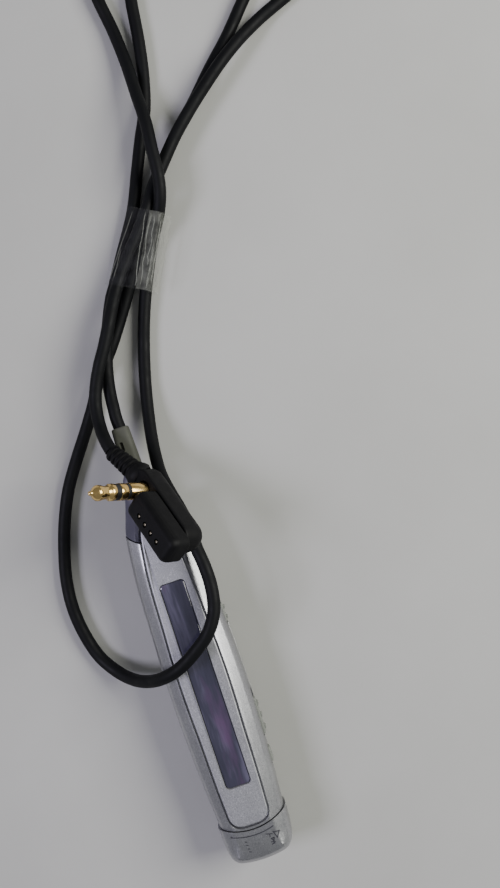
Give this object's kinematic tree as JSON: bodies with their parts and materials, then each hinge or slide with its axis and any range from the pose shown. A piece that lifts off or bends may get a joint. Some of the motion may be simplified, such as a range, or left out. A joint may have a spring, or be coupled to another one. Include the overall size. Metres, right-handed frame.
{
  "type": "in-line remote control",
  "caption": "Slim silver stick remote with a long display window, a twist-and-pull end control, side keys, back clip and a folded cord with a right-angle plug.",
  "frame": {"origin": "middle of the stick's footprint, on the sole of the back clip", "axes": "+X along the stick towards the end control, +Y towards the side keys, +Z out of the display"},
  "size_m": [0.2314, 0.1117, 0.0304],
  "materials": {
    "silver_case": "metallic silver lacquer on plastic, soft gloss",
    "satin_plate": "fine bead-blasted satin with sparkle",
    "violet_grey_plastic": "moulded, fine texture",
    "tinted_window": "dark violet tint, polished",
    "lcd_glass": "polished",
    "white_plastic": "moulded",
    "grey_plastic": "moulded",
    "key_grey": "moulded, satin",
    "circuit_board": "solder mask",
    "black_plastic": "moulded",
    "steel": "bright",
    "boot_rubber": "soft moulded, matte",
    "cord_jacket": "soft matte jacket",
    "plug_black": "soft moulded, fine texture",
    "gold_plate": "gold plate, polished",
    "clear_film": "clear adhesive film"
  },
  "bodies": {
    "case": {"front_shell": "silver_case", "back_shell": "silver_case", "end_housing": "violet_grey_plastic", "face_plate": "satin_plate", "display_window": "tinted_window", "lcd_glass": "lcd_glass", "lcd_light_guide": "white_plastic", "lcd_connector_strip": "grey_plastic", "main_board": "circuit_board", "controller_chip": "black_plastic", "board_capacitor": "grey_plastic", "inner_wires": "black_plastic", "headphone_jack": "black_plastic", "rotary_switch": "grey_plastic", "display_switch": "black_plastic", "mode_switch": "black_plastic", "hold_switch": "steel", "detent_spring": "steel", "clip_pin": "steel", "clip_spring": "steel", "case_screw_front": "steel", "case_screw_rear": "steel", "cord_boot": "boot_rubber", "cord_case_run": "cord_jacket", "cord_inner_loop": "cord_jacket", "cord_lower_loop": "cord_jacket", "cord_outer_loop": "cord_jacket", "cord_plug_run": "cord_jacket", "cord_tape": "clear_film", "plug_relief": "plug_black", "plug_housing": "plug_black", "plug_tongue": "plug_black", "plug_contact_1": "gold_plate", "plug_contact_2": "gold_plate", "plug_contact_3": "gold_plate", "plug_contact_4": "gold_plate", "plug_sleeve": "gold_plate", "plug_insulator_rear": "black_plastic", "plug_ring": "gold_plate", "plug_insulator_front": "black_plastic", "plug_tip": "gold_plate"},
    "carrier": {"control_carrier": "grey_plastic"},
    "end_control": {"control_cap": "silver_case", "control_shaft": "white_plastic", "shaft_clip": "steel"},
    "display_key": {"display_key": "key_grey"},
    "mode_key": {"mode_key": "key_grey"},
    "hold_slider": {"hold_slider": "key_grey"},
    "back_clip": {"back_clip": "silver_case"}
  },
  "joints": [
    {"name": "control_pull", "type": "slide", "parent": "case", "child": "carrier", "axis": [1, 0, 0], "range_m": [0, 0.002]},
    {"name": "control_turn", "type": "hinge", "parent": "carrier", "child": "end_control", "pos_m": [0.04, -0.00025, 0.0074], "axis": [1, 0, 0], "range_deg": [-20, 20], "stiffness_Nm_per_rad": 0.01},
    {"name": "display_press", "type": "slide", "parent": "case", "child": "display_key", "axis": [0, -1, 0], "range_m": [0, 0.0004], "stiffness_N_per_m": 800, "springref_m": -0.0003},
    {"name": "mode_press", "type": "slide", "parent": "case", "child": "mode_key", "axis": [0, -1, 0], "range_m": [0, 0.0004], "stiffness_N_per_m": 800, "springref_m": -0.0003},
    {"name": "hold_slide", "type": "slide", "parent": "case", "child": "hold_slider", "axis": [-1, 0, 0], "range_m": [0, 0.002]},
    {"name": "clip_open", "type": "hinge", "parent": "case", "child": "back_clip", "pos_m": [0.01935, -0.00025, 0.0018], "axis": [0, -1, 0], "range_deg": [0, 10], "stiffness_Nm_per_rad": 0.1, "springref_deg": -17.19}
  ]
}
